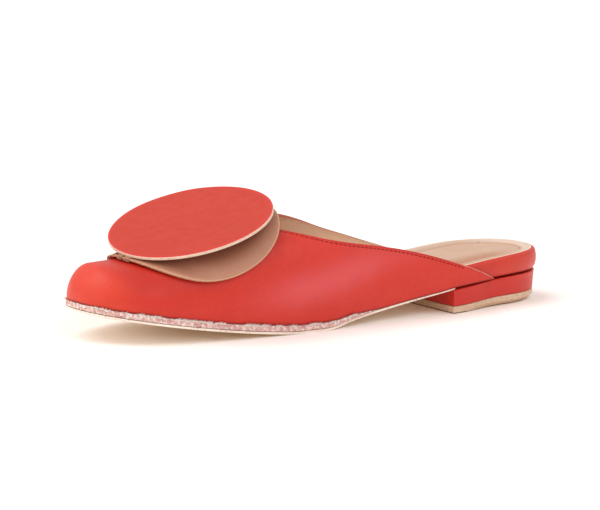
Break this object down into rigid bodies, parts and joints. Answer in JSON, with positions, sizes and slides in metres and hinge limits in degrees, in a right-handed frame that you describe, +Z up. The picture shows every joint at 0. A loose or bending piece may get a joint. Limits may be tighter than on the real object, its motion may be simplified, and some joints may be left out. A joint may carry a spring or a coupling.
{
  "type": "babouche slipper",
  "caption": "Backless almond-toe leather slipper with side wings, a low block heel and round leather discs that open over the vamp.",
  "frame": {"origin": "on the floor, under the middle of the shoe's bounding box", "axes": "+Z up, +Y from the toe to the heel, +X towards the outer side of the left foot"},
  "size_m": [0.0768, 0.258, 0.0616],
  "materials": {
    "red_leather": "smooth satin",
    "tan_leather": "smooth matte",
    "sole_leather": "matte",
    "sanded_edge": "sanded",
    "heel_tip": "matte, worn edge"
  },
  "bodies": {
    "root": {"outsole": "sole_leather", "midsole": "sanded_edge", "heel_block": "red_leather", "top_piece": "heel_tip", "footbed": "red_leather", "insole_sock": "tan_leather", "upper": "red_leather", "disc_lower": "tan_leather", "disc_upper": "red_leather"}
  },
  "joints": []
}
